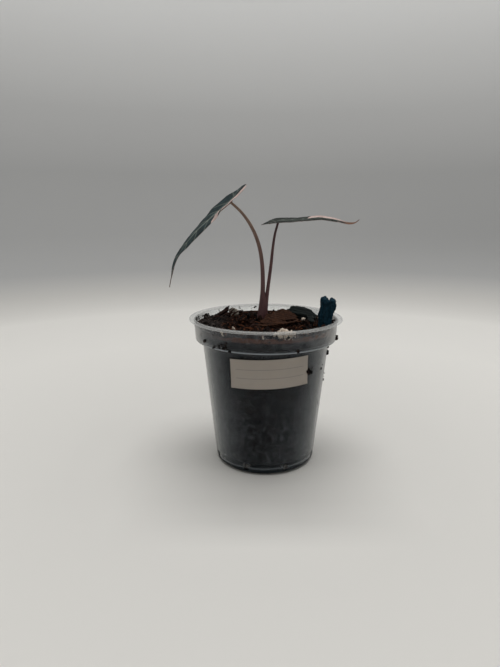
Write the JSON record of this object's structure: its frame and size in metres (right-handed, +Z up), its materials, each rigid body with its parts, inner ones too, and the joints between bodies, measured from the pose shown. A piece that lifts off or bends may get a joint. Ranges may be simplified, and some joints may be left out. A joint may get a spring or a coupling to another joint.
{
  "type": "potted bambino alocasia",
  "caption": "Small alocasia with arrow-shaped leaves on slim stalks, in a clear tapered nursery pot filled with coarse potting mix, with a blank paper label.",
  "frame": {"origin": "centre of the circle that the pot stands on", "axes": "+Z up along the pot's axis, -Y to the front, where the label is, +X to the right as seen from the front"},
  "size_m": [0.0922, 0.076, 0.1376],
  "materials": {
    "clear_plastic": "clear, slightly hazy moulded plastic with dust and smudges",
    "paper": "matt white label paper with two pale ruled lines",
    "potting_mix": "dark moist bark and coir mix with orange-brown fibres",
    "stalk": "smooth, satin, brownish pink stalk, paler at its top",
    "leaf": "leathery satin leaf, dark blue-green with pale grey-green veins above and dull pink below",
    "corm": "matt, pale brown corm and roots",
    "bark": "matt layered bark",
    "dark_bark": "matt, nearly black weathered bark",
    "charcoal": "blue-black charcoal with a fine upright grain and a slight sheen",
    "perlite": "matt, crumbly, off-white grains stained by the mix"
  },
  "bodies": {
    "root": {"pot": "clear_plastic", "label": "paper", "soil": "potting_mix", "rootstock": "corm", "petiole_left": "stalk", "petiole_right": "stalk", "blade_left": "leaf", "blade_right": "leaf", "bark_chunk": "bark", "dark_bark": "dark_bark", "charcoal": "charcoal", "bark_sliver": "dark_bark", "pale_chip": "perlite", "perlite_ball": "perlite", "perlite_speck": "perlite", "perlite_flake": "perlite", "perlite_cluster": "perlite"}
  },
  "joints": []
}
